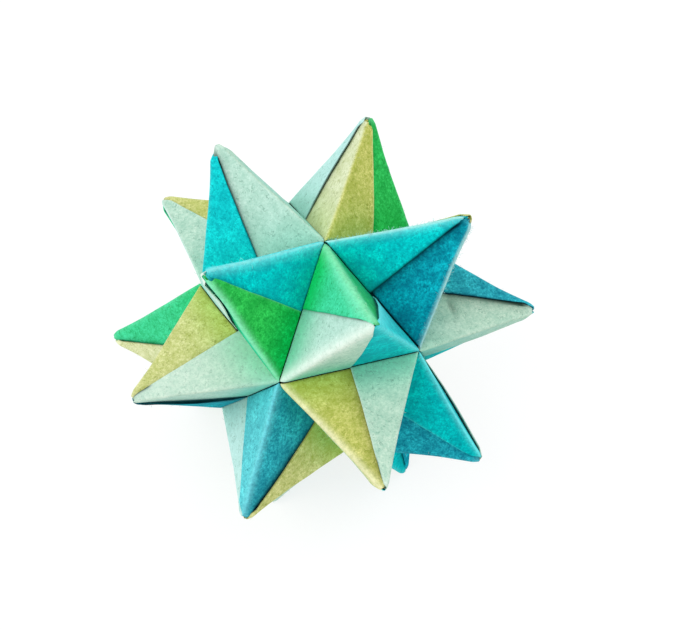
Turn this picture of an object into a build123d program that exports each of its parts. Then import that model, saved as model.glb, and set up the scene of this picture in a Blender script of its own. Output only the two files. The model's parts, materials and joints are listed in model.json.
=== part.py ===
from build123d import *
import math
import os

# Driving dimensions of the star, in millimetres
valley_edge = 29.0       # long fold of a unit, from one five-way corner to the next
ridge_length = 29.4      # ridge fold, from a five-way corner to the sharp point of a spike
tip_cut = 1.6            # height that the worn, blunt tip lacks below the sharp point

# One folded sheet
ply = 0.2                # thickness of one layer of the soft craft paper
slip = 0.05              # room between layers that slide on each other
valley_gap = 0.3         # opening left along a valley between two units' upper layers
tab_plies = 2            # a tab is the sheet folded double
fold_plies = 2.5         # the outer radius of a ridge fold, counted in layers
tab_reach_share = 0.8    # how far along the next valley a tab reaches inside its pocket

# Depths of the layers below the outer face of a spike
pocket_floor = ply
tab_top = pocket_floor + slip
tab_floor = tab_top + tab_plies * ply
base_top = tab_floor + slip
base_floor = base_top + ply
ridge_lap = (tab_top + tab_floor) / 2    # where the layers of one sheet run into its ridge fold
fold_radius = fold_plies * ply
overrun = valley_edge + ridge_length     # wide enough for every untrimmed layer

# Base triangle of one spike, seen from the middle of the star along the unit's valley
golden = (1 + math.sqrt(5)) / 2
centre = Vector(0, 0, 0)
half_edge = valley_edge / 2
left = Vector(-half_edge, 0, golden * half_edge)
right = Vector(half_edge, 0, golden * half_edge)
far = Vector(0, golden * half_edge, half_edge)
spike_foot = (left + right + far) / 3
spike_axis = spike_foot.normalized()
spike_height = math.sqrt(ridge_length**2 - valley_edge**2 / 3)
apex = spike_foot + spike_axis * spike_height


def spike_face(start, end):
    """Outer face of the spike over one valley, with its normal pointing out of the paper."""
    return Plane(origin=start, x_dir=end - start, z_dir=(end - start).cross(apex - start))


def valley_plane(start, end):
    """Plane through one valley and the middle of the star, where two spikes meet."""
    return Plane(origin=centre, x_dir=end - start, z_dir=end.cross(start))


def below(face, depth):
    """The plane that lies a depth under a face, on its inner side."""
    return face.offset(-depth)


def layer(face, top, floor):
    """Wide sheet between two depths below a face."""
    return extrude(below(face, floor) * Rectangle(2 * overrun, 2 * overrun), amount=floor - top)


def trim(sheet, *planes):
    """Keep what lies on the inner side of every plane."""
    for plane in planes:
        sheet = split(sheet, bisect_by=plane, keep=Keep.BOTTOM)
    return sheet


own_face = spike_face(left, right)     # carries the unit's base layer and its pocket
tab_face = spike_face(far, left)       # lies across the ridge and takes the unit's tab
next_face = spike_face(right, far)     # belongs to the third unit of the spike
own_valley = valley_plane(left, right)
tab_valley = valley_plane(far, left)
next_valley = valley_plane(right, far)
blunt_tip = Plane(origin=apex - spike_axis * tip_cut, z_dir=spike_axis)
seam = Plane(origin=(left + right) / 2, z_dir=right - left)

# The tab's free edge runs from the tip to a point short of the far corner
tab_corner = left + (far - left) * tab_reach_share
tab_edge = Plane(origin=apex, z_dir=tab_face.z_dir.cross(apex - tab_corner))


def base_layer():
    """Inner layer over the whole face, which the next unit's tab slides along."""
    return trim(
        layer(own_face, base_top, base_floor),
        own_valley,
        tab_valley.offset(-slip / 2),
        next_valley.offset(-slip / 2),
        below(tab_face, ridge_lap),
        below(next_face, base_floor + slip),
        blunt_tip,
    )


def pocket_layer():
    """Outer layer over the half face beside the ridge, open along the seam."""
    return trim(
        layer(own_face, 0, pocket_floor),
        own_valley.offset(-valley_gap / 2),
        below(tab_face, ridge_lap),
        seam,
        blunt_tip,
    )


def tab_layer():
    """Double layer that goes over the ridge and into the pocket of the next unit."""
    return trim(
        layer(tab_face, tab_top, tab_floor),
        own_face,
        tab_valley.offset(-valley_gap / 2),
        own_valley.offset(-valley_gap / 2),
        below(next_face, base_top),
        tab_edge,
        blunt_tip,
    )


def ridge_wedge():
    """All that lies under the two outer faces of a ridge, with the rounding of the fold."""
    block = Box(2 * overrun, 2 * overrun, 2 * overrun)
    wedge = trim(block, own_face, below(tab_face, tab_top))
    ridge_edges = wedge.edges().filter_by(Axis(left, apex - left))
    return fillet(ridge_edges.sort_by_distance(Edge.make_line(left, apex))[0], fold_radius)


def folded_wing():
    """Half of a unit: base layer, pocket and tab, joined along the rounded ridge fold."""
    return (base_layer() + pocket_layer() + tab_layer()) & ridge_wedge()


def folded_unit():
    """Two like wings, turned half round about the middle of the valley that joins them."""
    wing = folded_wing()
    return wing + wing.rotate(Axis.Z, 180)


def ring(height, first_angle):
    """Five corners of the star's core at one height, counted anticlockwise from above."""
    radius = 2 * core_radius / math.sqrt(5)
    angles = [math.radians(first_angle + 72 * step) for step in range(5)]
    return [Vector(radius * math.cos(angle), radius * math.sin(angle), height) for angle in angles]


# The twelve five-way corners: a spike of the upper ring looks to the front
core_radius = valley_edge * math.sin(math.radians(72))
ring_height = core_radius / math.sqrt(5)
crown = Vector(0, 0, core_radius)
upper = ring(ring_height, -126)
lower = ring(-ring_height, -90)
foot = Vector(0, 0, -core_radius)

# One unit lies on each of the thirty valleys
valleys = {}
for step in range(5):
    number = step + 1
    after = number % 5
    valleys[f"crown_unit_{number}"] = (crown, upper[step])
    valleys[f"shoulder_unit_{number}"] = (upper[step], upper[after])
    valleys[f"belt_unit_{2 * number - 1}"] = (upper[step], lower[step])
    valleys[f"belt_unit_{2 * number}"] = (lower[step], upper[after])
    valleys[f"skirt_unit_{number}"] = (lower[step], lower[after])
    valleys[f"foot_unit_{number}"] = (lower[step], foot)

unit = folded_unit()
units = {}
for name, (start, end) in valleys.items():
    units[name] = Plane(origin=centre, x_dir=end - start, z_dir=start + end) * unit

# The star stands on the five tips around its lowest corner
rest_height = -min(piece.bounding_box().min.Z for piece in units.values())
os.makedirs("parts", exist_ok=True)
for name, piece in units.items():
    export_step(Pos(0, 0, rest_height) * piece, f"parts/{name}.step")

print("unit volume", round(unit.volume, 2), "faces", len(unit.faces()), "solids", len(unit.solids()))
print("star centre stands at", round(rest_height, 3))
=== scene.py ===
# %% [markdown]
# # A modular origami star, dressed
# Thirty sheets of soft craft paper, each folded into the same unit, hold each other as a star of twenty
# spikes. The imported model gives every unit as a plain solid of flat layers. This lesson folds each sheet
# again as a fine mesh, with soft ridges, pockets that stand open at the seams, tips that end in rolled
# edges, and dyed paper that is rubbed pale where it is creased, with painted highlights on some ridges,
# painted shade in seams and valleys, and painted light on the faces towards the window.
# We start from the imported model, because its frame says where each unit is.

# %% Load the frame
import json
import math
import bmesh
import bpy
import numpy as np
from mathutils import Matrix, Vector


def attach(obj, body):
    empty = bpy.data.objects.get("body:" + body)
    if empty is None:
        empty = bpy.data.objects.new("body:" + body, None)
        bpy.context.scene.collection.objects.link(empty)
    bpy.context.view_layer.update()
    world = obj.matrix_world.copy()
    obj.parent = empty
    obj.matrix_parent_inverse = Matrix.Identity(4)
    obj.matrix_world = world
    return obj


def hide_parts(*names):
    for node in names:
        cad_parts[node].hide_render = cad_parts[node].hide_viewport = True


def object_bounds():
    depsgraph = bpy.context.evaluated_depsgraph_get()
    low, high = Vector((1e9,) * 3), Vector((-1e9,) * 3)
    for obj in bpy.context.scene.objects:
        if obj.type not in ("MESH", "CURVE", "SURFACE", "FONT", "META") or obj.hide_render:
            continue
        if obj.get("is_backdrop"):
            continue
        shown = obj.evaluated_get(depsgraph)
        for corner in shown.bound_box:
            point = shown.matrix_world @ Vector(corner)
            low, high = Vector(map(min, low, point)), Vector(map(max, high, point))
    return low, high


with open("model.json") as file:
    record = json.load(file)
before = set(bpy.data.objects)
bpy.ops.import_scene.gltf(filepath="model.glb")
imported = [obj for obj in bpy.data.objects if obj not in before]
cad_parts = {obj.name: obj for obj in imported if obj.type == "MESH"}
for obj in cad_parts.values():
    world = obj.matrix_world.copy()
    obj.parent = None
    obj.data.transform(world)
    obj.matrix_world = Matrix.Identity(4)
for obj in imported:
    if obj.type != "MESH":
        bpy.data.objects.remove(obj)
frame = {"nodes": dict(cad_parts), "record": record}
cad_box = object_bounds()
print("units in the frame:", len(frame["nodes"]))

# %% [markdown]
# ## The sizes of the fold
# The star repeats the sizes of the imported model, in metres. A spike face has four layers of paper, counted
# inwards: the outer layer of a pocket, the two layers of a tab, and the base layer. `INSET` turns a depth
# below a slanting face into a distance in a level slice of the spike, which is where we draw the folds.

# %% Sizes
MM = 0.001
VALLEY = 29.0 * MM
RIDGE = 29.4 * MM
PLY = 0.2 * MM
SLIP = 0.05 * MM
SPIKE_HEIGHT = math.sqrt(RIDGE**2 - VALLEY**2 / 3)
INSET = math.hypot(SPIKE_HEIGHT, VALLEY / math.sqrt(12)) / SPIKE_HEIGHT
TAB_TOP = PLY + SLIP
BASE_TOP = TAB_TOP + 2 * PLY + SLIP
BASE_FLOOR = BASE_TOP + PLY
STAR_CENTRE = (cad_box[0] + cad_box[1]) / 2
print("spike height in mm:", round(SPIKE_HEIGHT / MM, 2))

# %% [markdown]
# Handling has left the tips wider than a sharp pyramid's, so the sides of a spike flare a little in its
# upper half.

# %% Width of a spike at a height
TIP_FLARE = 1.5 * MM
FLARE_FROM, FLARE_OVER = 0.5, 0.45


def side_at(height):
    """Side of a spike's triangular slice, for a height from 0 at the base to 1 at the sharp point."""
    late = np.clip((height - FLARE_FROM) / FLARE_OVER, 0, 1)
    return VALLEY * (1 - height) + TIP_FLARE * late**2


print("side of a spike half way up in mm:", round(side_at(0.5) / MM, 2))

# %% [markdown]
# ## Corners, spikes and units
# The core of the star is an icosahedron. Its twelve corners are where five valleys meet, its twenty faces
# carry the spikes, and one unit lies along each of its thirty edges. Blender has a ready icosphere, but its
# corners have no names. We place them in rings, and name the spikes by the ring that they stand in, as the
# frame names the units. The corners of a spike run anticlockwise seen from outside, because a unit of this
# fold always has its ridge at the first end of its valley.

# %% Corners of the core
CORE_RADIUS = VALLEY * math.sin(math.radians(72))
RING_HEIGHT = CORE_RADIUS / math.sqrt(5)


def corner_ring(height, first_angle):
    radius = 2 * CORE_RADIUS / math.sqrt(5)
    angles = np.radians(first_angle + 72 * np.arange(5))
    return [np.array([radius * math.cos(a), radius * math.sin(a), height]) for a in angles]


crown = np.array([0, 0, CORE_RADIUS])
upper = corner_ring(RING_HEIGHT, -126)
lower = corner_ring(-RING_HEIGHT, -90)
foot = -crown
print("core radius in mm:", round(CORE_RADIUS / MM, 2))

# %% Spikes and the units that make them
spikes = {}
units = {}
for k in range(5):
    n, after = k + 1, (k + 1) % 5
    spikes[f"crown_spike_{n}"] = (crown, upper[k], upper[after])
    spikes[f"upper_spike_{n}"] = (upper[after], upper[k], lower[k])
    spikes[f"lower_spike_{n}"] = (lower[k], lower[after], upper[after])
    spikes[f"foot_spike_{n}"] = (foot, lower[after], lower[k])
    units[f"crown_unit_{n}"] = (crown, upper[k])
    units[f"shoulder_unit_{n}"] = (upper[k], upper[after])
    units[f"belt_unit_{2 * n - 1}"] = (upper[k], lower[k])
    units[f"belt_unit_{2 * n}"] = (lower[k], upper[after])
    units[f"skirt_unit_{n}"] = (lower[k], lower[after])
    units[f"foot_unit_{n}"] = (lower[k], foot)


def wings_of(unit):
    """The two halves of a unit: (spike, ridge corner, other end of the valley, far corner)."""
    start, end = units[unit]
    found = []
    for first, second in ((start, end), (end, start)):
        for spike, corners in spikes.items():
            for i in range(3):
                if corners[i] is first and corners[(i + 1) % 3] is second:
                    found.append((spike, first, second, corners[(i + 2) % 3]))
    return found


print("wings of a unit:", [wing[0] for wing in wings_of("crown_unit_1")])

# %% [markdown]
# ## One sheet in a level slice
# Cut a spike level with its base, and every layer shows as a line in a triangle. A sheet starts at the
# seam in the middle of its own side, turns round the ridge, runs along the next side as the upper layer of
# its tab, doubles back as the lower layer, turns round the ridge again inside itself, and ends as the base
# layer. So one line is the whole fold. A Solidify modifier could give it thickness, but the layers would
# cut each other in the tight turns, so we draw both faces of the paper ourselves. First we choose how many
# points each stretch of the line gets, closest where the paper bends or ends.

# %% Points along the fold
POCKET_SHARES = (0, 0.012, 0.035, 0.08, 0.16, 0.28, 0.42, 0.56, 0.69, 0.8, 0.88, 0.94, 0.975, 1)
SHOWN_SHARES = (0, 0.08, 0.2, 0.35, 0.5, 0.64, 0.76, 0.86, 0.93, 0.97, 0.99, 1)
HIDDEN_SHARES = (0.25, 0.5, 0.75, 1)
COLUMNS = {"pocket": len(POCKET_SHARES), "ridge": 8, "tab": len(SHOWN_SHARES + HIDDEN_SHARES), "edge": 3,
           "under": 5, "turn": 4, "base": 8}
POCKET, RIDGE_END, TAB_END, EDGE_END, UNDER_END, TURN_END, LAST = np.cumsum(list(COLUMNS.values()))
SHOWN_END = RIDGE_END + len(SHOWN_SHARES)


def spread(start, end, shares):
    """Points at given shares of the way between two points of every slice."""
    shares = np.asarray(shares)[None, :, None]
    return start[:, None, :] * (1 - shares) + end[:, None, :] * shares


def arc(centre, radius, first, last, count):
    """Points of a bend in every slice, without its two ends."""
    angles = np.radians(np.linspace(first, last, count + 2)[1:-1])
    ring = np.stack([np.cos(angles), np.sin(angles)], -1)
    return centre[:, None, :] + np.reshape(radius, (-1, 1, 1)) * ring[None]


print("points across a fold:", LAST)

# %% [markdown]
# The line is drawn for many slices at once, with x along the unit's own side and y into the spike. A ridge
# is a bend of a given radius, kept small enough for narrow slices near the tip.

# %% The line of the fold
SIN60 = math.sin(math.radians(60))
TAN30 = math.tan(math.radians(30))
OWN_WAY = np.array([1, 0])
TAB_WAY = np.array([0.5, SIN60])
INTO_TAB = np.array([SIN60, -0.5])
BISECTOR = np.array([SIN60, 0.5])
TAB_REACH = 0.8
FOLD_ROOM = 1.7 * MM
BEND_SHARE = 0.8
SHOWN_SHARE = 0.75
SHORTEST_RUN = 0.1 * MM
TIGHTEST_BEND = 0.03 * MM
HAIR_GAP = 0.02 * MM
INNER_CREASE = 0.25 * MM
INNER_BEND = 0.06 * MM


def fold_line(side, crease, seam_back=0):
    """The outer and the inner face of the sheet, as points in slices of the given sides."""
    column = side[:, None]
    ply = PLY * INSET
    rise, into = ply * np.array([0, 1]), ply * INTO_TAB
    corner_x = TAB_TOP * INSET / SIN60
    corner = np.array([corner_x, 0])
    radius = np.minimum(crease, BEND_SHARE * TAN30 * np.maximum(column / 2 - corner_x, SHORTEST_RUN))
    leg = radius / TAN30
    centre = corner + 2 * radius * BISECTOR
    seam = np.maximum(column / 2 - seam_back, corner_x + leg + SHORTEST_RUN) * OWN_WAY
    own_bend, tab_bend = corner + leg * OWN_WAY, corner + leg * TAB_WAY
    reach = np.minimum(TAB_REACH * column, column - FOLD_ROOM)
    reach = np.maximum(reach, leg + SHORTEST_RUN)
    edge = corner + reach * TAB_WAY
    middle = corner + np.minimum(column / 2, leg + SHOWN_SHARE * (reach - leg)) * TAB_WAY

    # the pocket, the ridge and the upper layer of the tab
    n = COLUMNS
    tight = np.maximum(radius - ply, TIGHTEST_BEND)
    tab = np.concatenate([spread(tab_bend, middle, SHOWN_SHARES), spread(middle, edge, HIDDEN_SHARES)], 1)
    outer = [spread(seam, own_bend, POCKET_SHARES), arc(centre, radius, -90, -210, n["ridge"]), tab]
    inner = [outer[0] + rise, arc(centre, tight, -90, -210, n["ridge"]), tab + into]

    # the doubled edge of the tab
    around = np.linspace(0, math.pi, n["edge"] + 2)[1:-1]
    bulge = np.sin(around)[None, :, None] * TAB_WAY
    drop = (1 - np.cos(around)) / 2
    back = into + HAIR_GAP * INTO_TAB
    outer.append(spread(edge, edge + back + into, drop) + bulge * ply)
    inner.append(spread(edge + into, edge + back, drop) + bulge * HAIR_GAP)

    # back under the tab, round the ridge again and out along the base
    depth = BASE_TOP * INSET
    bend_x = (TAB_TOP * INSET + ply + HAIR_GAP + depth / 2) / SIN60
    bend = np.array([bend_x, depth])
    inner_leg = INNER_CREASE / TAN30
    inner_centre = bend + 2 * INNER_CREASE * BISECTOR + 0 * column
    under = np.linspace(0, 1, n["under"] + 1)[1:]
    back_bend = bend + inner_leg * TAB_WAY + 0 * column
    outer.append(spread(edge + back, back_bend, under) + into)
    inner.append(spread(edge + back, back_bend, under))
    outer.append(arc(inner_centre, INNER_BEND, 150, 270, n["turn"]))
    inner.append(arc(inner_centre, INNER_CREASE, 150, 270, n["turn"]))
    margin = max(bend_x + inner_leg, ((BASE_FLOOR + SLIP) * INSET + depth / 2) / SIN60)
    near = np.array([margin, depth]) + 0 * column
    far = np.maximum(column - margin, margin + SHORTEST_RUN) * OWN_WAY + np.array([0, depth])
    base = np.linspace(0, 1, n["base"])
    outer.append(spread(near, far, base) + rise)
    inner.append(spread(near, far, base))
    return np.concatenate(outer, 1), np.concatenate(inner, 1)


print("points of a slice:", [face.shape for face in fold_line(np.array([VALLEY]), INNER_CREASE)])

# %% [markdown]
# ## From slices to a wing
# A wing is a stack of such slices from the valley to the tip. Each column of points starts at its own
# valley: a little short of it where the paper is free, and on it where the base layer carries on into the
# other wing. The rows lie closer towards the tip, with one more just above the valley.

# %% The place of a column in the star
ROWS = 41
FIRST_ROW = 0.012
EVENLY, TIPWARDS = 0.65, 0.35
row_share = np.linspace(0, 1, ROWS - 1)
row_share = EVENLY * row_share + TIPWARDS * np.sin(row_share * math.pi / 2)
row_share = np.insert(row_share, 1, FIRST_ROW)
VALLEY_GAP = 0.16 * MM
HIDDEN_GAP = 0.6 * MM
PROBE = 0.05


def unit_vector(v):
    return v / np.linalg.norm(v)


class Wing:
    """One half of a unit: the corners of its spike and the way its layers face."""

    def __init__(self, corner, other, far, crease, seam_back, valley_gaps):
        foot_point = (corner + other + far) / 3
        self.axis = unit_vector(foot_point)
        self.foot_point = foot_point
        self.to_corner = unit_vector(corner - foot_point)
        self.own_way = unit_vector(other - corner)
        self.inward = unit_vector(np.cross(self.axis, self.own_way))
        apex = foot_point + self.axis * SPIKE_HEIGHT
        self.own_out = unit_vector(np.cross(other - corner, apex - corner))
        self.tab_out = unit_vector(np.cross(corner - far, apex - far))
        self.own_valley = unit_vector(np.cross(corner, other))
        self.tab_valley = unit_vector(np.cross(far, corner))
        self.crease = crease
        self.seam_back = seam_back
        self.valley_gaps = valley_gaps

    def place(self, height, face):
        """Points of one face of the sheet at the given heights, a (rows, columns) array."""
        rows = len(height)
        side = side_at(height).ravel()
        drawn = fold_line(side, self.crease, self.seam_back)[face]
        spot = drawn[np.arange(side.size), np.tile(np.arange(LAST), rows)]
        corner = self.foot_point + np.outer(height.ravel() * SPIKE_HEIGHT, self.axis)
        corner += np.outer(side / math.sqrt(3), self.to_corner)
        points = corner + np.outer(spot[:, 0], self.own_way) + np.outer(spot[:, 1], self.inward)
        return points.reshape(rows, LAST, 3)

    def start(self, face):
        """The height at which each column leaves its valley."""
        ends = self.place(np.array([[-PROBE] * LAST, [PROBE] * LAST]), face)

        def reach(valley, gap):
            a, b = ends @ valley - gap
            return -PROBE - 2 * PROBE * a / (b - a)

        own = reach(self.own_valley, VALLEY_GAP / 2 + self.valley_gaps[0])
        tab = reach(self.tab_valley, VALLEY_GAP / 2 + self.valley_gaps[1])
        both = np.maximum(own, tab)
        short = reach(self.tab_valley, VALLEY_GAP / 2 + HIDDEN_GAP)
        base = reach(self.own_valley, 0)
        parts = [own[:POCKET], both[POCKET:RIDGE_END], tab[RIDGE_END:SHOWN_END], short[SHOWN_END:UNDER_END],
                 both[UNDER_END:TURN_END], base[TURN_END:]]
        return np.concatenate(parts)


print("rows from valley to tip:", len(row_share))

# %% [markdown]
# ## What the folder's hands left
# No two spikes of a folded star are quite alike. Some lean, and the five that carry the star are pressed up
# by the table. Some pockets stand open at the seam, because the tab inside pushes against the paper. One
# could push the finished mesh about in Sculpt Mode, but a table can be read, changed and run again. These
# hold what shows on this star, in millimetres, by spike and by unit. Every other place gets a small share
# of the same from a seeded random number.

# %% Leaning tips and rolled ridges
chance = np.random.default_rng(30)
TIP_LEAN = {
    "crown_spike_1": (0.45, 0.05, 0.15),
    "crown_spike_2": (-0.1, 0.4, 0.25),
    "crown_spike_3": (-0.35, 0.3, 0.1),
    "crown_spike_5": (0.35, -0.15, -0.1),
    "upper_spike_1": (-1.0, -0.35, -0.5),
    "upper_spike_2": (0.6, -0.2, 0.0),
    "upper_spike_3": (-0.3, -0.8, -0.5),
    "upper_spike_4": (0.55, -0.4, -0.1),
    "upper_spike_5": (0.2, -0.2, -0.1),
    "lower_spike_1": (-1.2, 0.15, -0.25),
    "lower_spike_2": (-2.3, -1.5, -1.7),
    "lower_spike_5": (0.55, 0.0, 0.15),
    "foot_spike_1": (0.1, 0.7, 0.55),
    "foot_spike_2": (0.0, 0.0, 0.15),
    "foot_spike_3": (0.0, 0.0, 0.38),
    "foot_spike_4": (0.3, 1.4, 0.12),
    "foot_spike_5": (0.4, 1.6, 0.47),
}
# ridges that are rolled rather than creased, with their radius
ROLLED_RIDGE = {
    "crown_spike_1 crown_unit_1": 0.9,
    "crown_spike_1 shoulder_unit_1": 0.8,
    "crown_spike_5 crown_unit_5": 0.6,
    "crown_spike_5 crown_unit_1": 0.6,
    "upper_spike_1 belt_unit_1": 0.7,
    "upper_spike_5 shoulder_unit_5": 0.5,
}


def random_from(least, most_more):
    return least + most_more * chance.random()


print("hand-set leans:", len(TIP_LEAN), "rolled ridges:", len(ROLLED_RIDGE))

# %% Open pockets, slipped seams and gaps at the valley
# how far a pocket stands open, and where along its seam most (0 valley, 1 tip)
POCKET_OPEN = {
    "crown_spike_1 crown_unit_1": (0.0, 0.5),
    "crown_spike_1 crown_unit_2": (0.8, 0.5),
    "crown_spike_2 crown_unit_2": (0.0, 0.6),
    "crown_spike_3 crown_unit_4": (0.5, 0.5),
    "crown_spike_4 crown_unit_5": (0.5, 0.6),
    "crown_spike_5 shoulder_unit_5": (1.15, 0.6),
    "upper_spike_2 shoulder_unit_2": (0.4, 0.9),
    "upper_spike_5 belt_unit_10": (0.75, 0.5),
    "lower_spike_1 belt_unit_3": (0.6, 0.6),
    "lower_spike_4 belt_unit_9": (0.4, 0.6),
    "lower_spike_5 belt_unit_1": (0.7, 0.6),
}
# how far the free edge of a pocket has slipped back from the middle of the face
SEAM_BACK = {
    "crown_spike_1 crown_unit_1": 0.5,
    "crown_spike_2 crown_unit_2": 0.75,
    "crown_spike_4 crown_unit_5": 0.2,
    "crown_spike_5 shoulder_unit_5": 0.45,
    "upper_spike_2 shoulder_unit_2": 0.8,
    "lower_spike_4 belt_unit_9": 0.35,
    "lower_spike_5 belt_unit_1": 0.4,
}
# how far a pocket and a tab stop short of the valley; less than nothing reaches over it
SHORT_OF_VALLEY = {
    "crown_spike_2 shoulder_unit_2": (0.0, 0.4),
    "crown_spike_5 crown_unit_1": (0.0, -0.25),
    "upper_spike_1 belt_unit_1": (0.0, 0.25),
    "upper_spike_5 belt_unit_9": (0.0, 0.3),
    "upper_spike_5 shoulder_unit_5": (-0.35, 0.0),
}
print("open pockets:", len(POCKET_OPEN), "slipped seams:", len(SEAM_BACK))

# %% [markdown]
# At the tip the layers end one below the other, as worn paper does, with the corner of the pocket rubbed
# away and the ridge's roll standing out. The last millimetre is pinched together a little, as it is by
# fingers, which also closes the view into the hollow spike.

# %% Where the layers end at the tip
TIP_CUT = 1.6 * MM
INNER_TIP = 1 - 2.4 * MM / VALLEY
RAGGED = 0.15 * MM
CORNER_CURVE = 1.6
# units that end lower than their neighbours: at the ridge, and more at the free corner of the pocket
TIP_TRIM = {
    "crown_spike_2 crown_unit_2": (0.8, 0.8),
    "crown_spike_2 shoulder_unit_2": (0.6, 0.8),
    "crown_spike_3 crown_unit_3": (0.8, 0.6),
    "crown_spike_4 crown_unit_5": (1.2, 0.6),
    "crown_spike_5 crown_unit_1": (1.0, 1.0),
    "crown_spike_5 crown_unit_5": (0.2, 0.5),
    "crown_spike_5 shoulder_unit_5": (2.0, 0.8),
    "upper_spike_5 shoulder_unit_5": (0.0, 0.3),
}


def tip_line(here):
    """The height at which each column of a wing ends."""
    trim, corner_trim = TIP_TRIM.get(here, (random_from(-0.3, 0.6), random_from(0.8, 1.2)))
    tip = 1 - (TIP_CUT + trim * MM) / SPIKE_HEIGHT
    line = tip + (chance.random(LAST) - 0.5) * RAGGED / SPIKE_HEIGHT
    worn_corner = np.clip(1 - np.arange(LAST) / POCKET, 0, 1) ** CORNER_CURVE
    line -= worn_corner * corner_trim * MM / SPIKE_HEIGHT
    line[TAB_END:EDGE_END] = (tip + INNER_TIP) / 2
    line[EDGE_END:] = INNER_TIP
    return line


print("height at which the inner layers end:", round(INNER_TIP, 3))

# %% Both faces of a wing, pinched at the tip
PINCH = {"crown_spike_1": 0.8}
SLIGHT_PINCH = 0.35
PINCH_LENGTH = 1.1 * MM / SPIKE_HEIGHT


def layered_faces(wing, spike, end):
    """Both faces of a wing as (rows, columns, 3) points, and the height of each point."""
    faces = []
    for face in (0, 1):
        start = wing.start(face)
        height = start + row_share[:, None] * (end - start)
        late = np.clip((height - end + PINCH_LENGTH) / PINCH_LENGTH, 0, 1)
        close = 1 - PINCH.get(spike, SLIGHT_PINCH) * late**2
        axis = wing.foot_point + height[..., None] * SPIKE_HEIGHT * wing.axis
        faces.append(axis + (wing.place(height, face) - axis) * close[..., None])
    return faces, np.clip(height, 0, 1)


print("pinched share of a spike's height:", round(PINCH_LENGTH, 3))

# %% [markdown]
# ## Wear, painted light and painted shade of the paper
# Five numbers go along with every point of the sheet, and the paper's material reads them as attributes.
# One could paint them by hand in Vertex Paint, but they follow the fold, so we compute them from the
# distance to the ridge and to the free edge. The first says how pale the paper is painted, partly where the
# dye is worn off and partly as painted highlight: most along the ridges, some at free edges and tips. The
# last says where fibres stand loose.

# %% Rubbed places, painted highlights and fuzz
# how pale a ridge is, partly rubbed and partly painted highlight, and how wide, where it differs from the
# rest
RIDGE_RUB_AND_HIGHLIGHT = {
    "crown_spike_1 crown_unit_1": (0.7, 2.0),
    "crown_spike_1 crown_unit_2": (0.6, 1.0),
    "crown_spike_1 shoulder_unit_1": (0.65, 2.0),
    "crown_spike_2 crown_unit_2": (0.75, 1.1),
    "crown_spike_2 shoulder_unit_2": (0.8, 0.5),
    "crown_spike_3 crown_unit_3": (0.0, 0.5),
    "crown_spike_4 crown_unit_4": (0.05, 0.5),
    "crown_spike_5 crown_unit_1": (0.75, 1.1),
    "crown_spike_5 crown_unit_5": (0.65, 1.3),
    "upper_spike_1 belt_unit_1": (0.6, 1.0),
    "upper_spike_2 belt_unit_3": (0.05, 0.5),
    "upper_spike_5 shoulder_unit_5": (0.05, 0.5),
    "lower_spike_1 belt_unit_2": (0.8, 0.8),
    "lower_spike_5 belt_unit_10": (0.55, 1.2),
}
# pockets whose free edge is painted pale, partly rubbed and partly painted highlight, and how wide
PALE_EDGE = {
    "crown_spike_1 crown_unit_2": (0.9, 3.0),
    "crown_spike_3 crown_unit_3": (0.4, 0.15),
    "crown_spike_5 crown_unit_1": (0.3, 0.15),
    "crown_spike_5 shoulder_unit_5": (1.0, 5.0),
    "upper_spike_1 shoulder_unit_1": (0.4, 0.15),
    "upper_spike_5 shoulder_unit_5": (0.35, 12.0),
    "lower_spike_1 belt_unit_2": (0.3, 0.15),
}
FUZZY_RIDGE = {
    "crown_spike_1 crown_unit_1": 0.15,
    "crown_spike_2 crown_unit_2": 1.0,
    "crown_spike_2 shoulder_unit_2": 1.0,
    "crown_spike_5 crown_unit_5": 0.4,
}
SLIGHT_FUZZ = 0.04
FUZZ_WIDTH = 0.5 * MM
TIP_RUB = 0.4
TIP_RUB_FROM, TIP_RUB_OVER = 0.88, 0.06


# pale of ridges, free edges and tips: worn dye and painted highlight
def rub_and_highlight_of(here, from_ridge, from_edge, up):
    paleness, width = RIDGE_RUB_AND_HIGHLIGHT.get(here, (random_from(0.1, 0.2), 0.6))
    rub_and_highlight = paleness * np.exp(-((from_ridge / (width * MM)) ** 2))
    pale, reach = PALE_EDGE.get(here, (0, 1))
    rub_and_highlight = np.maximum(rub_and_highlight, pale * np.exp(-from_edge / (reach * MM)))
    return np.maximum(rub_and_highlight, TIP_RUB * np.clip((up - TIP_RUB_FROM) / TIP_RUB_OVER, 0, 1))


print("hand-set ridges:", len(RIDGE_RUB_AND_HIGHLIGHT), "pale edges:", len(PALE_EDGE))

# %% [markdown]
# The second number is painted shade in seams and valleys: the mouth of a pocket where the tab goes in, the
# free edge of a pocket where the photograph shows a crisp line, and the base layer where it shows along a
# valley.

# %% Painted shade in seams
# how far out of a pocket's mouth the painted shade on the paper of the tab still reaches
DARK_MOUTH = {
    "crown_spike_2 shoulder_unit_2": 1.1,
    "crown_spike_4 crown_unit_4": 0.7,
    "crown_spike_5 crown_unit_1": 1.0,
    "upper_spike_1 belt_unit_1": 1.6,
    "upper_spike_2 belt_unit_3": 1.4,
    "lower_spike_5 belt_unit_10": 1.2,
}
PLAIN_MOUTH = 0.5
MOUTH_DARK, SEAM_DARK = 0.55, 0.45
SEAM_WIDTH = 0.15 * MM
# seams are less dark at the tips, where light comes in
LIT_TIP = 0.75
LIT_TIP_FROM, LIT_TIP_OVER = 0.84, 0.08
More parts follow.
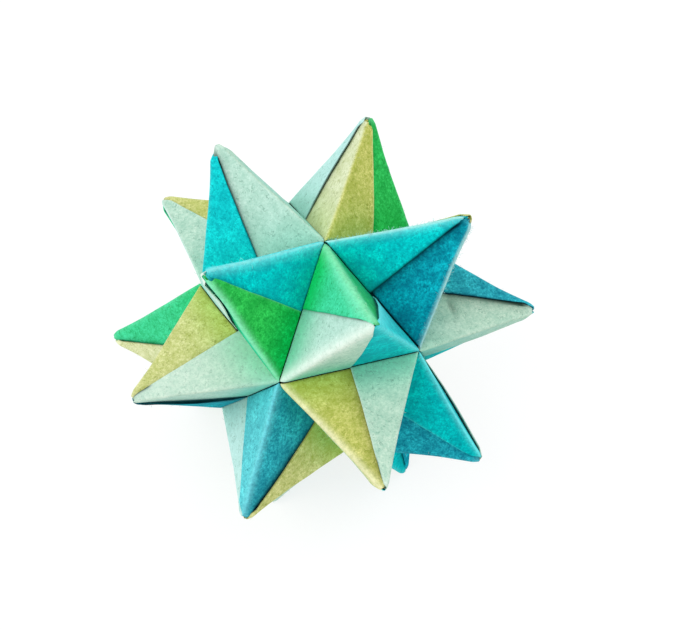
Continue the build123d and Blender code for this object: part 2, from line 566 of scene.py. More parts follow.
# pockets whose free edge is painted as a dark line of shade: how dark, how wide, and from which height
DARK_EDGE = {
    "crown_spike_1 crown_unit_1": (0.4, 0.2, 0.0),
    "crown_spike_2 crown_unit_2": (1.0, 0.4, 0.0),
    "crown_spike_3 crown_unit_4": (0.7, 0.2, 0.0),
    "crown_spike_4 crown_unit_5": (0.8, 0.2, 0.0),
    "upper_spike_1 shoulder_unit_1": (0.9, 0.25, 0.75),
    "upper_spike_2 shoulder_unit_2": (1.0, 0.42, 0.0),
    "upper_spike_5 belt_unit_10": (0.9, 3.2, 0.0),
    "upper_spike_5 shoulder_unit_5": (1.0, 0.42, 0.8),
    "lower_spike_1 belt_unit_2": (0.12, 30.0, 0.0),
    "lower_spike_4 belt_unit_9": (0.5, 0.2, 0.0),
    "lower_spike_5 belt_unit_1": (0.5, 0.2, 0.0),
}
EDGE_START = 0.04
# base layers painted in full shade where they show along a valley
DARK_BASE = {
    "crown_spike_1 crown_unit_2",
    "crown_spike_2 crown_unit_2",
    "upper_spike_1 shoulder_unit_1",
    "upper_spike_5 shoulder_unit_5",
}


# painted shade of pocket mouths, free edges of pockets and base layers in valleys
def painted_shade_of(here, from_ridge, from_edge, up):
    to_seam = np.maximum(side_at(up) / 2 - from_ridge, 0)
    painted_shade = MOUTH_DARK * np.exp(-to_seam / (DARK_MOUTH.get(here, PLAIN_MOUTH) * MM))
    painted_shade += SEAM_DARK * np.exp(-to_seam / SEAM_WIDTH)
    painted_shade *= 1 - LIT_TIP * np.clip((up - LIT_TIP_FROM) / LIT_TIP_OVER, 0, 1)
    painted_shade[:, :RIDGE_END] = 0
    dark, reach, low = DARK_EDGE.get(here, (0, 1, 0))
    line = dark * np.exp(-((from_edge / (reach * MM)) ** 2)) * np.clip((up - low) / EDGE_START + 1, 0, 1)
    painted_shade[:, :POCKET] = line[:, :POCKET]
    if here in DARK_BASE:
        painted_shade[:, TURN_END:] = 1
    return painted_shade


print("dark edges:", len(DARK_EDGE), "dark base layers:", len(DARK_BASE))

# %% [markdown]
# The third number says how strong the dye is painted, most in the valleys, where no finger and little light
# comes: partly stronger dye, partly painted shade with green light reflected from the neighbouring spikes.
# The fourth number is painted light from the window side: faces turned that way are painted cooler and
# paler than the rest.

# %% Strong dye with painted valley shade, and painted window light
STRONG_DYE_AND_SHADE = {
    "crown_spike_1": 1.0, "crown_spike_2": 1.0, "crown_spike_5": 1.0,
    "upper_spike_1": 1.0, "upper_spike_5": 0.9, "lower_spike_5 belt_unit_1": 1.0,
}
PLAIN_DYE_AND_SHADE = 0.35
VALLEY_SHADE_HEIGHT = 5 * MM
WINDOW_WAY = np.array([-0.92, 0.30, 0.26])
WINDOW_FROM, WINDOW_OVER = 0.3, 0.5
# how much more or less painted window light than its neighbours a spike, or one pocket or tab of it, gets
SPIKE_WINDOW_LIGHT = {"crown_spike_3": 0.2, "upper_spike_4": 0.15, "lower_spike_4": 0.4, "lower_spike_5": 0.3}
POCKET_WINDOW_LIGHT = {
    "crown_spike_3 crown_unit_3": -0.3,
    "upper_spike_2 shoulder_unit_2": 0.3,
    "upper_spike_4 shoulder_unit_4": -0.2,
    "upper_spike_5 belt_unit_10": -1.0,
    "upper_spike_5 shoulder_unit_5": -0.5,
}
TAB_WINDOW_LIGHT = {
    "crown_spike_1 shoulder_unit_1": -0.45,
    "crown_spike_3 shoulder_unit_3": -0.1,
    "upper_spike_5 belt_unit_9": 0.3,
    "lower_spike_1 skirt_unit_1": 0.15,
}


# stronger dye and painted shade with reflected green light, less with height above the valley
def valley_dye_and_shade_of(here, up):
    strength = STRONG_DYE_AND_SHADE.get(here, STRONG_DYE_AND_SHADE.get(here.split()[0], PLAIN_DYE_AND_SHADE))
    return strength * np.exp(-((up * SPIKE_HEIGHT / VALLEY_SHADE_HEIGHT) ** 2))


# painted window light, most on faces turned towards the window side
def window_light_of(here, outward, more):
    window = np.clip((outward @ WINDOW_WAY - WINDOW_FROM) / WINDOW_OVER, 0, 1)
    return np.clip(window + SPIKE_WINDOW_LIGHT.get(here.split()[0], 0) + more.get(here, 0), 0, 1)


print("spikes with strong dye:", len(STRONG_DYE_AND_SHADE))

# %% All wear, painted light and painted shade of a wing
WEAR_AND_PAINTED_LIGHT = ("rub_and_highlight", "painted_shade", "valley_dye_and_shade", "window_light", "fuzz")


def wear_and_painted_light(here, wing, from_ridge, from_edge, up):
    """The five numbers of wear, painted light and painted shade of every point, as a (rows, columns, 5)
    array in the order of the names above.
    """
    own_window_light = window_light_of(here, wing.own_out, POCKET_WINDOW_LIGHT)
    tab_window_light = window_light_of(here, wing.tab_out, TAB_WINDOW_LIGHT)
    window_light = np.full_like(up, tab_window_light)
    window_light[:, :POCKET] = own_window_light
    window_light[:, POCKET:RIDGE_END] = np.linspace(own_window_light, tab_window_light, COLUMNS["ridge"])
    worn_and_painted = {
        "rub_and_highlight": rub_and_highlight_of(here, from_ridge, from_edge, up),
        "painted_shade": painted_shade_of(here, from_ridge, from_edge, up),
        "valley_dye_and_shade": valley_dye_and_shade_of(here, up),
        "window_light": window_light,
        "fuzz": FUZZY_RIDGE.get(here, SLIGHT_FUZZ) * np.exp(-((from_ridge / FUZZ_WIDTH) ** 2)),
    }
    return np.stack([worn_and_painted[name] for name in WEAR_AND_PAINTED_LIGHT], -1)


print("numbers on each point:", WEAR_AND_PAINTED_LIGHT)

# %% [markdown]
# ## One wing
# The lean, the open pocket, a slight pillow of the faces and the wander of the seam are soft moves of these
# points. They grow from nothing at the valley, so that neighbours keep meeting there.

# %% Fold one wing
OPEN_LENGTH = 0.45
OPEN_FROM = 0.12
PILLOW = 0.25 * MM
WANDER = 0.06 * MM
WANDER_ROWS = 5
WANDER_CURVE = 6


def fold_wing(unit, spike, corner, other, far):
    """Both faces of a wing, and the wear, painted light and painted shade of the paper on each point of
    them.
    """
    here = spike + " " + unit
    crease = ROLLED_RIDGE.get(here, random_from(0.28, 0.17)) * MM
    gaps = np.array(SHORT_OF_VALLEY.get(here, (0, 0))) * MM
    wing = Wing(corner, other, far, crease, SEAM_BACK.get(here, 0) * MM, gaps)
    opening, peak = POCKET_OPEN.get(here, (random_from(0.25, 0.2), random_from(0.3, 0.6)))
    lean = np.array(TIP_LEAN.get(spike, (0, 0, 0))) * MM
    faces, up = layered_faces(wing, spike, tip_line(here))
    steps = np.linalg.norm(np.diff(faces[0], axis=1), axis=-1)
    from_edge = np.concatenate([np.zeros((ROWS, 1)), np.cumsum(steps, axis=1)], 1)
    from_ridge = np.abs(from_edge - from_edge[:, (POCKET + RIDGE_END) // 2, None])
    share = np.clip(from_ridge / side_at(up), 0, 1)

    lift = opening * MM * np.exp(-(((up - peak) / OPEN_LENGTH) ** 2)) * np.clip(up / OPEN_FROM, 0, 1)
    lift *= np.clip(2 * share, 0, 1) ** 2
    pillow = PILLOW * 4 * share * (1 - share) * 4 * up * (1 - up)
    move = lean * up[..., None]
    move[:, :POCKET] += (lift + pillow)[:, :POCKET, None] * wing.own_out
    move[:, RIDGE_END:UNDER_END] += pillow[:, RIDGE_END:UNDER_END, None] * wing.tab_out
    move[:, TURN_END:] += pillow[:, TURN_END:, None] * wing.own_out
    shake = chance.normal(size=ROWS + WANDER_ROWS - 1)
    wander = np.convolve(shake, np.ones(WANDER_ROWS) / WANDER_ROWS, "valid") * WANDER * up[:, 0]
    near_edge = (1 - np.array(POCKET_SHARES)) ** WANDER_CURVE
    move[:, :POCKET] += np.outer(wander, near_edge)[..., None] * wing.own_way
    return [face + move for face in faces], wear_and_painted_light(here, wing, from_ridge, from_edge, up)


print("pillow of a face in mm:", round(PILLOW / MM, 2))

# %% [markdown]
# ## Dents
# Fingers have pressed two places: a small crease in the right-hand spike, and a broad hollow in the face of
# the left one. A dent goes through all layers of a face, so it is a move of all points near it, whichever
# sheet they belong to.

# %% Dents through all layers of a face
# spike and side; height and share of the middle; depth, width and length in mm; turn in degrees; painted
# shade
DENTS = [
    ("upper_spike_2", 0, 0.27, 0.59, 0.7, 0.65, 2.4, 17, 0.5),
    ("crown_spike_5", 1, 0.45, 0.5, 1.2, 4.0, 8.0, 90, 0.0),
]
DENT_REACH, DENT_FADE = 3.5 * MM, 2 * MM


def dent_in(points, spike, side, height, share, width, length, turn):
    """How deep in a dent each point is, from 0 to 1, and the way that the dented face looks."""
    first, second, third = np.roll(spikes[spike], -side, axis=0)
    apex = (first + second + third) / 3 + unit_vector(first + second + third) * SPIKE_HEIGHT
    foot_point = first + share * (second - first)
    outward = unit_vector(np.cross(second - first, apex - first))
    level = unit_vector(second - first)
    run = math.cos(math.radians(turn)) * level + math.sin(math.radians(turn)) * np.cross(outward, level)
    away = points - foot_point - height * (apex - foot_point)
    along, across = away @ run, away @ np.cross(outward, run)
    near = np.clip((DENT_REACH - np.abs(away @ outward)) / DENT_FADE, 0, 1)
    return near * np.exp(-((along / length) ** 2) - (across / width) ** 2), outward


def press_dents(points, marks):
    """The points with the dents pressed in; a sharp dent also gets painted shade."""
    painted_shade = WEAR_AND_PAINTED_LIGHT.index("painted_shade")
    for spike, side, height, share, depth, width, length, turn, shade in DENTS:
        dent, outward = dent_in(points, spike, side, height, share, width * MM, length * MM, turn)
        points = points - np.outer(depth * MM * dent, outward)
        marks[:, painted_shade] = np.maximum(marks[:, painted_shade], shade * dent)
    return points


print("dents:", len(DENTS))

# %% [markdown]
# ## A unit as one closed mesh
# Two wings make a unit. We lay quads over both faces, close the cut edges with narrow strips, and leave
# only the base layers open along the valley. There the points of both wings coincide and are merged, so the
# result is one closed sheet. The back of the paper keeps the dye's plain colour and only the painted shade,
# apart from the strip inside the free edge of a pocket, which can be seen and keeps all of the front's wear,
# painted light and painted shade but its fuzz.

# %% Build the mesh of a unit
LIP_COLUMNS = 8
SAME_PLACE = 0.001 * MM
SHARP_ANGLE = math.radians(50)


def quads_of(ids):
    corners = [ids[:-1, :-1], ids[:-1, 1:], ids[1:, 1:], ids[1:, :-1]]
    return np.stack(corners, -1).reshape(-1, 4)


def sheet_points(unit):
    """Points, wear and quads of a unit, with its two wings still apart."""
    points, marks, quads = [], [], []
    grid = np.arange(ROWS * LAST).reshape(ROWS, LAST)
    for spike, corner, other, far in wings_of(unit):
        faces, worn_and_painted = fold_wing(unit, spike, corner, other, far)
        outer = grid + 2 * grid.size * (len(points) // 2)
        inner = outer + grid.size
        # the back keeps only the painted shade; the lip inside a pocket's free edge keeps all but the fuzz
        inside_wear_and_shade = worn_and_painted * [name == "painted_shade" for name in WEAR_AND_PAINTED_LIGHT]
        inside_wear_and_shade[:, :LIP_COLUMNS] = worn_and_painted[:, :LIP_COLUMNS] * [name != "fuzz" for name in WEAR_AND_PAINTED_LIGHT]
        points += [face.reshape(-1, 3) for face in faces]
        marks += [worn_and_painted.reshape(-1, len(WEAR_AND_PAINTED_LIGHT)), inside_wear_and_shade.reshape(-1, len(WEAR_AND_PAINTED_LIGHT))]
        quads += [quads_of(outer)[:, ::-1], quads_of(inner)]
        rim = np.concatenate([outer[0, TURN_END::-1], outer[1:, 0], outer[-1, 1:], outer[-2::-1, -1]])
        quads.append(np.stack([rim[1:], rim[:-1], rim[:-1] + grid.size, rim[1:] + grid.size], -1))
    return np.concatenate(points), np.concatenate(marks), np.concatenate(quads)


def sheet_mesh(unit):
    """The closed mesh of a unit, the number of its open edges and its volume."""
    points, marks, quads = sheet_points(unit)
    points = press_dents(points, marks) + np.array(STAR_CENTRE)
    mesh = bpy.data.meshes.new(unit + "_sheet")
    mesh.from_pydata(points, [], quads.tolist())
    for k, name in enumerate(WEAR_AND_PAINTED_LIGHT):
        layer = mesh.attributes.new(name, "FLOAT", "POINT")
        layer.data.foreach_set("value", marks[:, k].astype(np.float32))
    shape = bmesh.new()
    shape.from_mesh(mesh)
    bmesh.ops.remove_doubles(shape, verts=shape.verts, dist=SAME_PLACE)
    open_edges = sum(not edge.is_contiguous for edge in shape.edges)
    volume = shape.calc_volume(signed=True)
    shape.to_mesh(mesh)
    shape.free()
    mesh.polygons.foreach_set("use_smooth", np.ones(len(mesh.polygons), bool))
    mesh.set_sharp_from_angle(angle=SHARP_ANGLE)
    return mesh, open_edges, volume


print("quads on one face of a wing:", (ROWS - 1) * (LAST - 1))

# %% Fold the thirty sheets
sheets = {}
for unit in units:
    sheets[unit], open_edges, volume = sheet_mesh(unit)
    if open_edges or volume < 0 or unit == "crown_unit_1":
        print(unit, "open edges:", open_edges, "paper volume in cubic mm:", round(volume / MM**3, 1))

# %% [markdown]
# ## Dyed craft paper
# The sheets are soft, long-fibred craft paper dyed in the pulp. One recipe serves all five colours, built
# from noises in space and the five numbers on the points, because an image of paper would show its seams on
# so many folds. A few short helpers keep the recipe readable. In them a pair of a node and one of its
# outputs stands for the value that comes out there.

# %% Helpers for nodes
def give(tree, node, inputs):
    """Each input gets a constant, or a link where a pair of a node and an output is given."""
    for entry, value in inputs.items():
        if isinstance(value, tuple) and isinstance(value[0], bpy.types.Node):
            tree.links.new(value[0].outputs[value[1]], node.inputs[entry])
        else:
            node.inputs[entry].default_value = value


def add(tree, kind, inputs=None, **settings):
    """A new node with its settings and its inputs."""
    node = tree.nodes.new(kind)
    for name, value in settings.items():
        setattr(node, name, value)
    give(tree, node, inputs or {})
    return node


def reckon(tree, operation, *values):
    """A product, a difference or another result of one or two values."""
    return add(tree, "ShaderNodeMath", dict(enumerate(values)), operation=operation), "Value"


def between(tree, source, low, high, to_low=0.0, to_high=1.0):
    """A value stretched from one range to another and held inside it."""
    ranges = {"From Min": low, "From Max": high, "To Min": to_low, "To Max": to_high}
    return add(tree, "ShaderNodeMapRange", {"Value": source, **ranges}), "Result"


def tint(tree, share, under, over):
    """A colour between two others."""
    return add(tree, "ShaderNodeMix", {0: share, 6: under, 7: over}, data_type="RGBA"), 2


def darker(colour, share):
    return tuple(share * c for c in colour[:3]) + (1,)


print("half as bright as white:", darker((1, 1, 1), 0.5))

# %% [markdown]
# The dye is cloudy, because pulp takes it unevenly, and here and there a darker fibre lies in the surface.
# Such a fibre is the line along which a noise crosses its middle value, broken up by a second noise. Faces
# with painted window light lose part of their clouds, too.

# %% Clouds of dye and stray fibres
NOISES = {
    "clouds": {"Scale": 300, "Detail": 3, "Roughness": 0.6},
    "felt": {"Scale": 1400, "Detail": 5, "Roughness": 0.7},
    "curls": {"Scale": 1100, "Detail": 2, "Roughness": 0.5, "Distortion": 0.6},
    "patches": {"Scale": 800, "Detail": 1},
    "grain": {"Scale": 3000, "Detail": 2, "Roughness": 0.6},
}
# noise, its value where the dye is deep and where it is plain, and its share of the mottle
MOTTLE = (("clouds", 0.35, 0.65, 0.8), ("felt", 0.36, 0.6, 1.0), ("grain", 0.3, 0.6, 0.8))
VALLEY_DYE_AND_SHADE_MOST, CLOUDS_KEPT = 0.95, 0.45
NOISE_MIDDLE = 0.5
STRAY_WIDTH, STRAY_DARK = 0.03, 0.65
STRAY_NONE, STRAY_ALL = 0.49, 0.57


def clouded_dye_and_light(tree, noise, worn_and_painted_by, body, valley_dye_and_shade, deep, window_lit, mottle):
    # stronger dye with painted valley shade and reflected green light, low in the valleys
    valley_mix = between(tree, worn_and_painted_by["valley_dye_and_shade"], 0.0, 1.0, 0.0, VALLEY_DYE_AND_SHADE_MOST)
    # painted window light: faces turned towards the window side are paler, cooler and less clouded
    kept = between(tree, worn_and_painted_by["window_light"], 0.0, 1.0, 1.0, CLOUDS_KEPT)
    colour = tint(tree, worn_and_painted_by["window_light"], body, window_lit)
    colour = tint(tree, valley_mix, colour, valley_dye_and_shade)
    for kind, at_deep, at_plain, share in MOTTLE:
        pattern = between(tree, noise[kind], at_deep, at_plain, share * mottle, 0.0)
        colour = tint(tree, reckon(tree, "MULTIPLY", pattern, kept), colour, deep)
    return colour


def stray_fibres(tree, noise):
    below = reckon(tree, "SUBTRACT", noise["curls"], NOISE_MIDDLE)
    away = reckon(tree, "ABSOLUTE", below)
    line = between(tree, away, 0.0, STRAY_WIDTH, STRAY_DARK, 0.0)
    return reckon(tree, "MULTIPLY", line, between(tree, noise["patches"], STRAY_NONE, STRAY_ALL))


print("noises of the paper:", list(NOISES))

# %% [markdown]
# Rubbed places and painted highlights go towards the pale heart of the paper, painted shade towards a deeper
# shade of the dye.
# The loose fibres catch light at a low angle, which is what sheen is for, and they make a fine felt-like
# relief.

# %% The paper recipe
BARE_PAPER = (0.70, 0.80, 0.68, 1)
BARE_FROM, BARE_MOST = 0.1, 0.42
PALE_LEAST = 0.65
PALE_FROM, PALE_TO = 0.3, 0.62
STRAY_SHADE, PAINTED_SHADE_SHARE = 0.6, 0.12
RELIEF, RELIEF_DEPTH = 0.35, 0.12 * MM
FEEL = {"Roughness": 0.9, "Specular IOR Level": 0.04, "Sheen Weight": 0.3, "Sheen Roughness": 0.3,
        "Sheen Tint": (0.1, 0.85, 1.0, 1)}


def paper(name, body, valley_dye_and_shade, deep, pale, window_lit, mottle):
    finish = bpy.data.materials.new(name)
    finish.use_nodes = True
    tree = finish.node_tree
    place = add(tree, "ShaderNodeTexCoord"), "Object"
    noise = {}
    for kind, values in NOISES.items():
        noise[kind] = add(tree, "ShaderNodeTexNoise", {"Vector": place, **values}), "Fac"
    worn_and_painted_by = {}
    for kind in WEAR_AND_PAINTED_LIGHT:
        worn_and_painted_by[kind] = add(tree, "ShaderNodeAttribute", attribute_name=kind), "Fac"

    colour = clouded_dye_and_light(tree, noise, worn_and_painted_by, body, valley_dye_and_shade, deep, window_lit, mottle)
    patchy = between(tree, noise["felt"], PALE_FROM, PALE_TO, PALE_LEAST, 1.0)
    bare = between(tree, worn_and_painted_by["fuzz"], BARE_FROM, 1.0, 0.0, BARE_MOST)
    colour = tint(tree, stray_fibres(tree, noise), colour, darker(deep, STRAY_SHADE))
    # pale where the dye is rubbed off and where a highlight is painted
    colour = tint(tree, reckon(tree, "MULTIPLY", worn_and_painted_by["rub_and_highlight"], patchy), colour, pale)
    colour = tint(tree, bare, colour, BARE_PAPER)
    # painted shade in seams and valleys: a darker shade of the dye
    colour = tint(tree, worn_and_painted_by["painted_shade"], colour, darker(deep, PAINTED_SHADE_SHARE))
    felt = {"Strength": RELIEF, "Distance": RELIEF_DEPTH, "Height": noise["felt"]}
    relief = add(tree, "ShaderNodeBump", felt), "Normal"
    give(tree, tree.nodes["Principled BSDF"], {"Base Color": colour, "Normal": relief, **FEEL})
    return finish


print("feel of the paper:", FEEL)

# %% The five colours
# each paper: its body, its valley colour with painted shade and reflected light, its deep and pale shades,
# its colour under painted window light, and how mottled it is
PAPERS = {
    "turquoise_paper": {"body": (0.0, 0.79, 0.75), "valley_dye_and_shade": (0.0, 0.78, 0.67), "deep": (0.0, 0.27, 0.33),
                        "pale": (0.18, 0.79, 0.82), "window_lit": (0.03, 0.89, 0.93), "mottle": 0.72},
    "teal_paper": {"body": (0.0, 0.565, 0.67), "valley_dye_and_shade": (0.0, 0.54, 0.61), "deep": (0.0, 0.13, 0.21),
                   "pale": (0.20, 0.66, 0.72), "window_lit": (0.18, 0.84, 0.88), "mottle": 0.82},
    "green_paper": {"body": (0.05, 0.69, 0.12), "valley_dye_and_shade": (0.0, 0.68, 0.14), "deep": (0.002, 0.26, 0.03),
                    "pale": (0.28, 0.80, 0.52), "window_lit": (0.08, 0.78, 0.46), "mottle": 0.7},
    "olive_paper": {"body": (0.79, 0.74, 0.26), "valley_dye_and_shade": (0.50, 0.70, 0.17), "deep": (0.28, 0.34, 0.03),
                    "pale": (0.82, 0.80, 0.57), "window_lit": (0.80, 0.83, 0.60), "mottle": 0.65},
    "mint_paper": {"body": (0.585, 0.735, 0.60), "valley_dye_and_shade": (0.19, 0.71, 0.48), "deep": (0.18, 0.42, 0.31),
                   "pale": (0.82, 0.88, 0.81), "window_lit": (0.59, 0.86, 0.84), "mottle": 0.43},
}
finishes = {}
for name, dye in PAPERS.items():
    colours = {part: value + (1,) if part != "mottle" else value for part, value in dye.items()}
    finishes[name] = paper(name, **colours)
print("papers:", sorted(finishes))

# %% [markdown]
# ## Cockled sheets and loose fibres
# Handled paper is never flat, and on some ridges loose fibres stand up. Both could be sculpted into each
# sheet. One Geometry Nodes tree does it for all thirty instead, and its inputs have names, so that every
# amount can be changed later.

# %% The inputs of the tree
worn_sheet = bpy.data.node_groups.new("worn_sheet", "GeometryNodeTree")
worn_sheet.is_modifier = True
sockets = worn_sheet.interface
sockets.new_socket("Worn sheet", in_out="OUTPUT", socket_type="NodeSocketGeometry")
INPUTS = {"Sheet": "Geometry", "Swell": "Float", "Swell spacing": "Float", "Fibre length": "Float",
          "Fibres per square metre": "Float", "Seed": "Int", "Finish": "Material"}
entries = {}
for name, kind in INPUTS.items():
    entries[name] = sockets.new_socket(name, in_out="INPUT", socket_type="NodeSocket" + kind).identifier
tree = worn_sheet
given = add(tree, "NodeGroupInput")
print("inputs of the tree:", list(entries))

# %% [markdown]
# The swell moves the paper by up to about a tenth of a millimetre either way. It comes from one noise in
# space, so that layers which lie on each other swell alike.

# %% The swell of a sheet
place = add(tree, "GeometryNodeInputPosition"), "Position"
pitch = reckon(tree, "DIVIDE", 1, (given, "Swell spacing"))
cloud = add(tree, "ShaderNodeTexNoise", {"Vector": place, "Scale": pitch, "Detail": 1}), "Color"
middle = (NOISE_MIDDLE, NOISE_MIDDLE, NOISE_MIDDLE)
centred = add(tree, "ShaderNodeVectorMath", {0: cloud, 1: middle}, operation="SUBTRACT"), "Vector"
amount = {"Vector": centred, "Scale": (given, "Swell")}
offset = add(tree, "ShaderNodeVectorMath", amount, operation="SCALE"), "Vector"
swollen = add(tree, "GeometryNodeSetPosition", {"Geometry": (given, "Sheet"), "Offset": offset}), "Geometry"
print("nodes for the swell:", len(tree.nodes))

# %% [markdown]
# A loose fibre is a bent hair a little under a millimetre long. Hairs are stood on the surface at random,
# as many as the `fuzz` of the place asks for. Blender's hair system could grow them, but its hairs would
# not become part of a plain mesh.

# %% A loose fibre
HAIR_RADIUS = 0.03
BOW = {"Start": (0, 0, -0.05), "Middle": (0.25, 0.0, 0.45), "End": (0.8, 0.2, 0.55), "Resolution": 4}
bow = add(tree, "GeometryNodeCurveQuadraticBezier", BOW), "Curve"
section = add(tree, "GeometryNodeCurvePrimitiveCircle", {"Resolution": 3, "Radius": HAIR_RADIUS}), "Curve"
tube = {"Curve": bow, "Profile Curve": section, "Fill Caps": True}
strand = add(tree, "GeometryNodeCurveToMesh", tube), "Mesh"
marked = {"Geometry": strand, "Name": "fuzz", "Value": 1.0}
hair = add(tree, "GeometryNodeStoreNamedAttribute", marked), "Geometry"
print("a hair of length 1 is this thick:", 2 * HAIR_RADIUS)

# %% Fibres on the ridges
TILT, FULL_TURN = 0.5, 6.283
SHORTEST_HAIR, LONGEST_HAIR = 0.4, 1.2
seed = given, "Seed"
fuzz = add(tree, "GeometryNodeInputNamedAttribute", {"Name": "fuzz"}), "Attribute"
density = reckon(tree, "MULTIPLY", fuzz, (given, "Fibres per square metre"))
spots = {"Mesh": swollen, "Density": density, "Seed": seed}
plant = add(tree, "GeometryNodeDistributePointsOnFaces", spots)
turns = {"Min": (-TILT, -TILT, 0), "Max": (TILT, TILT, FULL_TURN), "Seed": seed}
turn = add(tree, "FunctionNodeRandomValue", turns, data_type="FLOAT_VECTOR"), 0
spin = add(tree, "FunctionNodeEulerToRotation", {"Euler": turn}), "Rotation"
ways = {"Rotation": (plant, "Rotation"), "Rotate By": spin}
twist = add(tree, "FunctionNodeRotateRotation", ways, rotation_space="LOCAL"), "Rotation"
sizes = {2: SHORTEST_HAIR, 3: LONGEST_HAIR, "Seed": seed}
size = add(tree, "FunctionNodeRandomValue", sizes, data_type="FLOAT"), 1
length = reckon(tree, "MULTIPLY", size, (given, "Fibre length"))
stood = {"Points": (plant, "Points"), "Instance": hair, "Rotation": twist, "Scale": length}
stand = add(tree, "GeometryNodeInstanceOnPoints", stood), "Instances"
print("nodes for swell and fibres:", len(tree.nodes))

# %% Hairs and sheet as one
whole = add(tree, "GeometryNodeJoinGeometry", {"Geometry": stand})
give(tree, whole, {"Geometry": swollen})
real = add(tree, "GeometryNodeRealizeInstances", {"Geometry": (whole, "Geometry")}), "Geometry"
dyed = add(tree, "GeometryNodeSetMaterial", {"Geometry": real, "Material": (given, "Finish")}), "Geometry"
add(tree, "NodeGroupOutput", {"Worn sheet": dyed})
print("nodes in the tree:", len(tree.nodes))

# %% [markdown]
# Each sheet goes through the tree and comes back as a plain mesh, which takes the place of its unit in the
# frame and keeps the unit's paper as its material slot.

# %% Make the thirty sheets
AMOUNTS = {"Swell": 0.22 * MM, "Swell spacing": 7.0 * MM, "Fibre length": 0.75 * MM,
           "Fibres per square metre": 9e6}
slot_of = {row["node"]: row["material_slot"] for row in frame["record"]["subparts"]}
faces_made = 0
for number, (unit, mesh) in enumerate(sheets.items()):
    piece = bpy.data.objects.new(unit + "_sheet", mesh)
    bpy.context.collection.objects.link(piece)
    marks = piece.modifiers.new("marks", "NODES")
    marks.node_group = worn_sheet
    for name, value in AMOUNTS.items():
        marks[entries[name]] = value
    marks[entries["Seed"]] = number
    marks[entries["Finish"]] = finishes[slot_of[unit]]
    plain = bpy.data.meshes.new_from_object(piece.evaluated_get(bpy.context.evaluated_depsgraph_get()))
    piece.modifiers.remove(marks)
    piece.data = plain
    faces_made += len(plain.polygons)
    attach(piece, "root")
    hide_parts(unit)
print("sheets:", len(sheets), "faces:", faces_made)

# %% [markdown]
# ## The studio
# The star lies on a pale table in soft light: a wide panel up on the left near the camera, a weaker one on
# the right, and a bright room all round. The photograph has a white ground. More light would whiten the
# table but bleach the paper too, so the table and the room are fully white only to rays that come straight
# from the camera or by way of a reflection. Rays that carry light to the star meet that white and a plainer
# colour half and half. A quarter of what the camera sees of the table still depends on the lamps, so the
# shadow of the star stays on it.

# %% Rays that see the white surroundings
SEEN_BY = ("Is Camera Ray", "Is Glossy Ray", "Is Transmission Ray")
OTHER_RAYS = 0.5


def seen_share(tree):
    """A value that is 1 for the camera, in reflections and through glass, and less for other rays."""
    rays = add(tree, "ShaderNodeLightPath")
    share = OTHER_RAYS
    for kind in SEEN_BY:
        share = reckon(tree, "MAXIMUM", (rays, kind), share)
    return share


print("share of white for other rays:", OTHER_RAYS)

# %% Table
TABLE_HALF = 3.0
TABLE_COLOUR = (0.84, 0.79, 0.71, 1)
SHADOW_SHARE = (0.25, 0.25, 0.25, 1)
WHITE_SHARE = (0.76, 0.76, 0.76, 1)
table_corners = [(TABLE_HALF * x, TABLE_HALF * y, 0) for x, y in ((-1, -1), (1, -1), (1, 1), (-1, 1))]
table_mesh = bpy.data.meshes.new("table")
table_mesh.from_pydata(table_corners, [], [(0, 1, 2, 3)])
table = bpy.data.objects.new("table", table_mesh)
bpy.context.collection.objects.link(table)
table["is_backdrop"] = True
top = bpy.data.materials.new("pale_table")
top.use_nodes = True
tree = top.node_tree
tree.nodes.clear()
bounce = add(tree, "ShaderNodeBsdfDiffuse", {"Color": TABLE_COLOUR}), "BSDF"
shown = add(tree, "ShaderNodeBsdfDiffuse", {"Color": SHADOW_SHARE}), "BSDF"
glow = add(tree, "ShaderNodeEmission", {"Color": WHITE_SHARE}), "Emission"
both = add(tree, "ShaderNodeAddShader", {0: shown, 1: glow}), "Shader"
pick = add(tree, "ShaderNodeMixShader", {0: seen_share(tree), 1: bounce, 2: both}), "Shader"
add(tree, "ShaderNodeOutputMaterial", {"Surface": pick})
table_mesh.materials.append(top)
print("table side in m:", 2 * TABLE_HALF)

# %% Room
ROOM_COLOUR = (0.93, 0.97, 1.0, 1)
WHITE = (1, 1, 1, 1)
room = bpy.data.worlds.new("room")
bpy.context.scene.world = room
room.use_nodes = True
tree = room.node_tree
ambient = tree.nodes["Background"]
give(tree, ambient, {"Color": ROOM_COLOUR, "Strength": 1.0})
backdrop = add(tree, "ShaderNodeBackground", {"Color": WHITE}), "Background"
pick = add(tree, "ShaderNodeMixShader", {0: seen_share(tree), 1: (ambient, "Background"), 2: backdrop})
give(tree, tree.nodes["World Output"], {"Surface": (pick, "Shader")})
print("room light:", ROOM_COLOUR[:3])

# %% Panels
PANEL_SIZE = 0.35


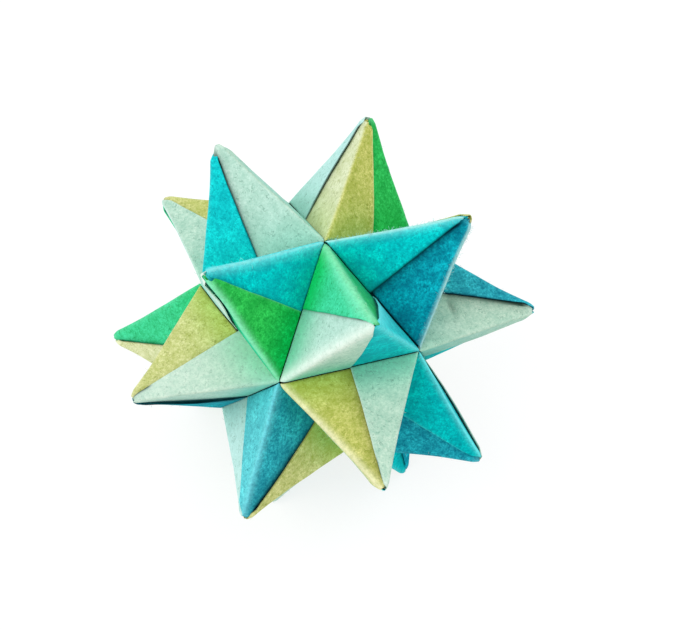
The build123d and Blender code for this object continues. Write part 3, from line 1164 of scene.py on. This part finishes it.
def panel(name, place, watts, colour):
    light = bpy.data.lights.new(name, "AREA")
    light.shape = "SQUARE"
    light.size = PANEL_SIZE
    light.energy = watts
    light.color = colour
    lamp = bpy.data.objects.new(name, light)
    lamp.location = place
    lamp.rotation_euler = (STAR_CENTRE - lamp.location).to_track_quat("-Z", "Y").to_euler()
    bpy.context.collection.objects.link(lamp)
    print(name, "stands off by (m):", round((STAR_CENTRE - lamp.location).length, 2))


panel("left_panel", Vector((-0.38, -0.12, 0.52)), 1.3, (1.0, 0.99, 0.96))
panel("right_panel", Vector((0.45, 0.2, 0.3)), 0.45, (1.0, 0.98, 0.94))

# %% [markdown]
# The camera looks down on the star at fifty-three degrees, a little turned and a little rolled, from 23
# centimetres away. Its place was found by matching the corners and tips of the star with the photograph.

# %% Camera
LOOK_TURN, LOOK_DOWN, LOOK_ROLL = math.radians(21.89), math.radians(53.48), math.radians(5.81)
AIM_SHIFT = Vector((4.13, 0.31, 1.35)) * MM
DISTANCE = 229.05 * MM
level = math.cos(LOOK_DOWN)
forward = Vector((math.sin(LOOK_TURN) * level, math.cos(LOOK_TURN) * level, -math.sin(LOOK_DOWN)))
lens = bpy.data.cameras.new("camera")
lens.lens = 57.74
lens.sensor_width = 36
lens.clip_start = 0.01
camera = bpy.data.objects.new("camera", lens)
turn = forward.to_track_quat("-Z", "Y").to_matrix() @ Matrix.Rotation(LOOK_ROLL, 3, "Z")
camera.matrix_world = Matrix.Translation(STAR_CENTRE + AIM_SHIFT - forward * DISTANCE) @ turn.to_4x4()
bpy.context.collection.objects.link(camera)
bpy.context.scene.camera = camera
bpy.context.scene.view_settings.view_transform = "Standard"
print("camera at:", [round(c, 3) for c in camera.matrix_world.translation])

# %% [markdown]
# ## Size
# The dressed star should fill the same box as the imported one, so we keep both for comparison.

# %% Sizes
dressed_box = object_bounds()
below, above = max(cad_box[0] - dressed_box[0]), max(dressed_box[1] - cad_box[1])
print("outside the packed box by at most (mm):", round(max(below, above) / MM, 2))
